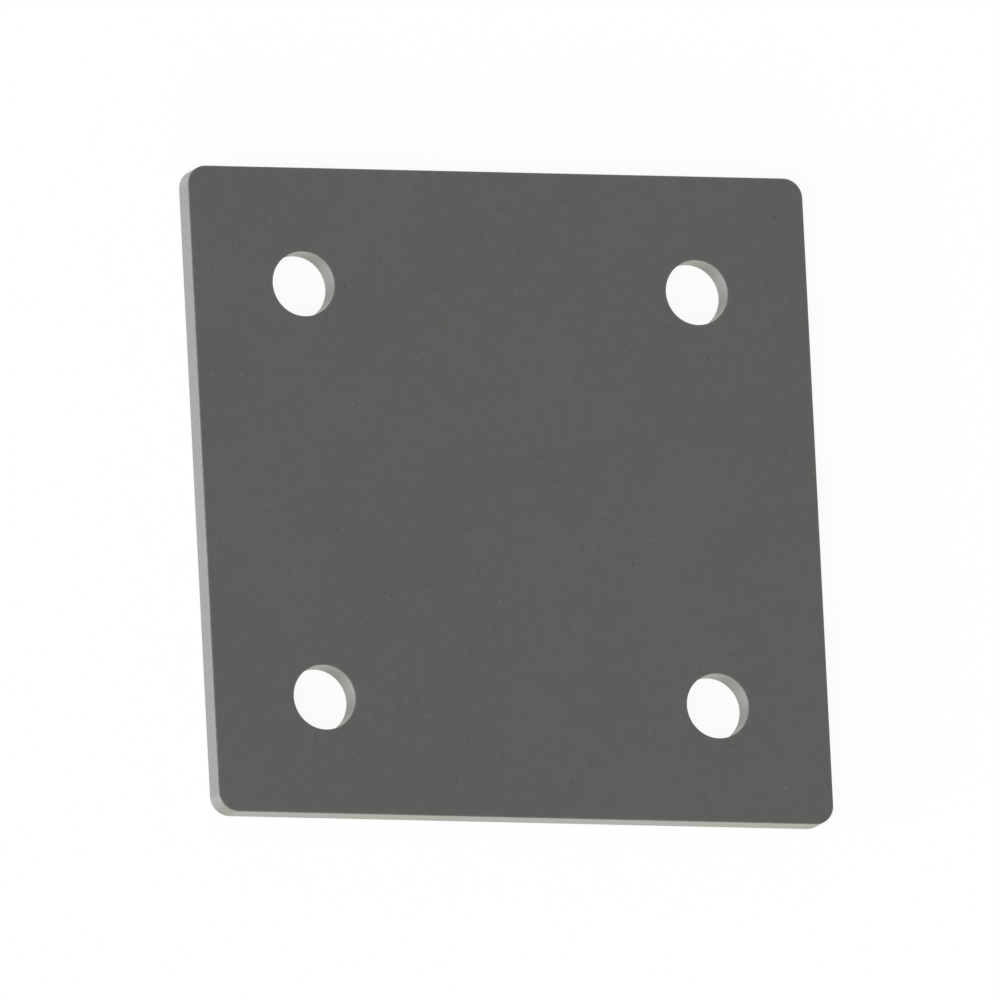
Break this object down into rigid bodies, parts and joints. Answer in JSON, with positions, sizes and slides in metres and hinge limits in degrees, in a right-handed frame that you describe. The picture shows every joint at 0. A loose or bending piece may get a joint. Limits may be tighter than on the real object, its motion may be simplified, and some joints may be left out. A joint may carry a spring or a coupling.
{
  "type": "square cover plate",
  "caption": "Flat square cover plate with rounded corners and a plain through hole near each corner, bolted over an opening or against a frame.",
  "frame": {"origin": "centre of the back face, the face that goes against what the plate covers", "axes": "+X along the width, +Y along the height, +Z out of the front face; the plate lies on its back face"},
  "size_m": [0.1, 0.1, 0.004],
  "materials": {
    "plate": "matte"
  },
  "bodies": {
    "root": {"cover_plate": "plate"}
  },
  "joints": []
}
